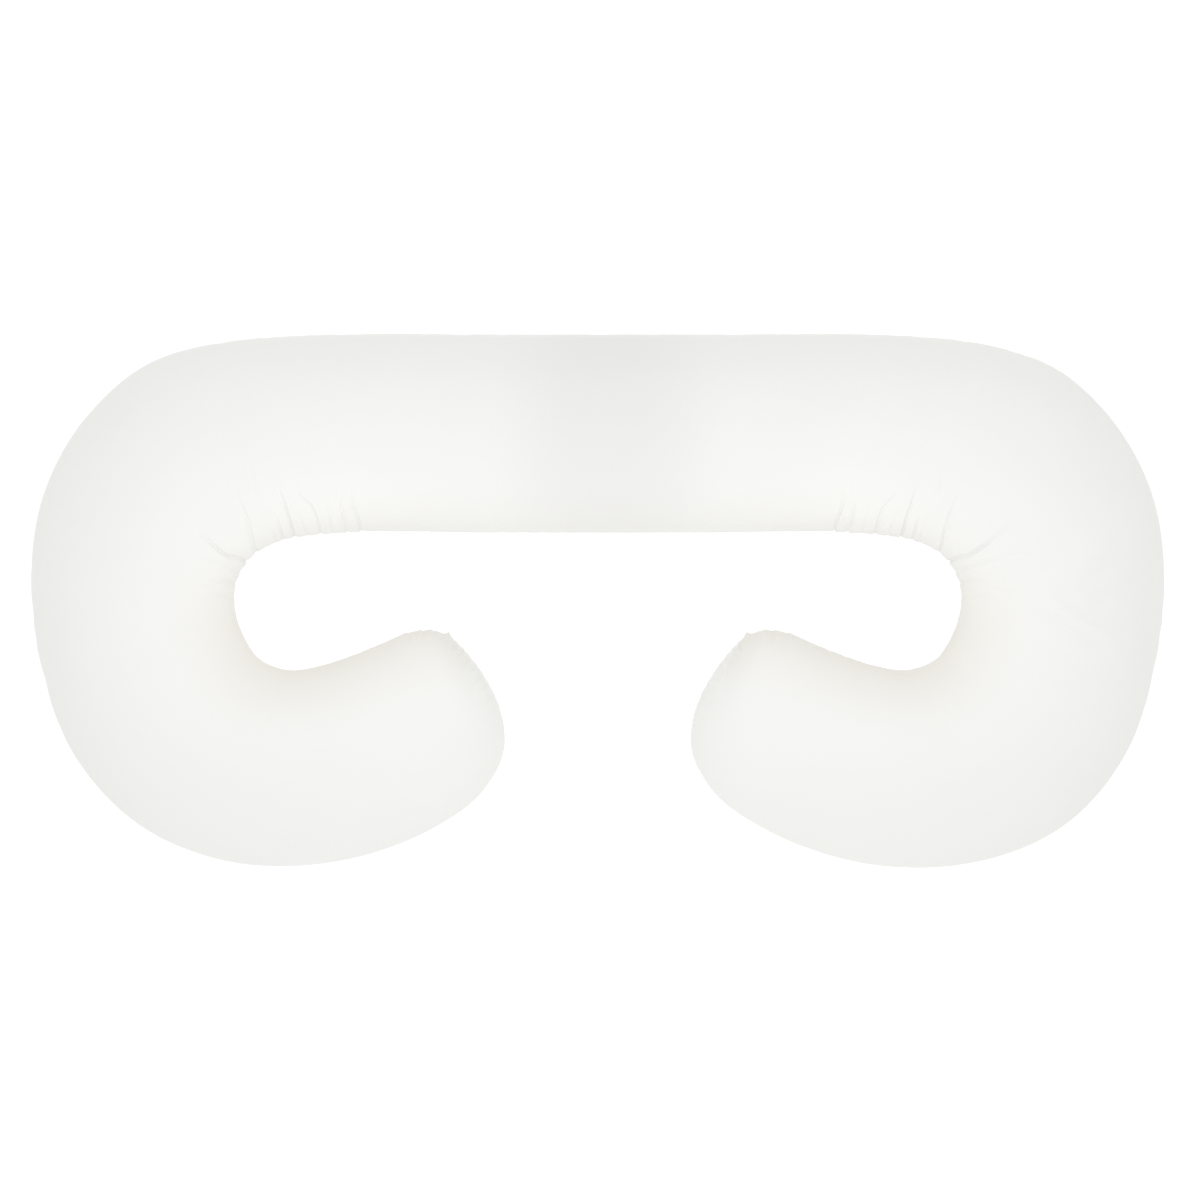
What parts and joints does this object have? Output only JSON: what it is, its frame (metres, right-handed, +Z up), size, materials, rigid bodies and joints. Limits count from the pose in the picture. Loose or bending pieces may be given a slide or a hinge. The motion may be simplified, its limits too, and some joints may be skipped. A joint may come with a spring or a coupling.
{
  "type": "body pillow",
  "caption": "Long filled body pillow bent to a wide C with turned-in ends, sewn from cloth panels with a seam all round, lying on its back.",
  "frame": {"origin": "on the surface the pillow lies on, under the middle of its bounding box", "axes": "+X along the straight back, +Y from the open side towards the back, +Z up through the thickness"},
  "size_m": [1.6117, 0.7595, 0.196],
  "materials": {
    "white_cotton": "matt plain-woven white cotton"
  },
  "bodies": {
    "root": {"pillow": "white_cotton"}
  },
  "joints": []
}
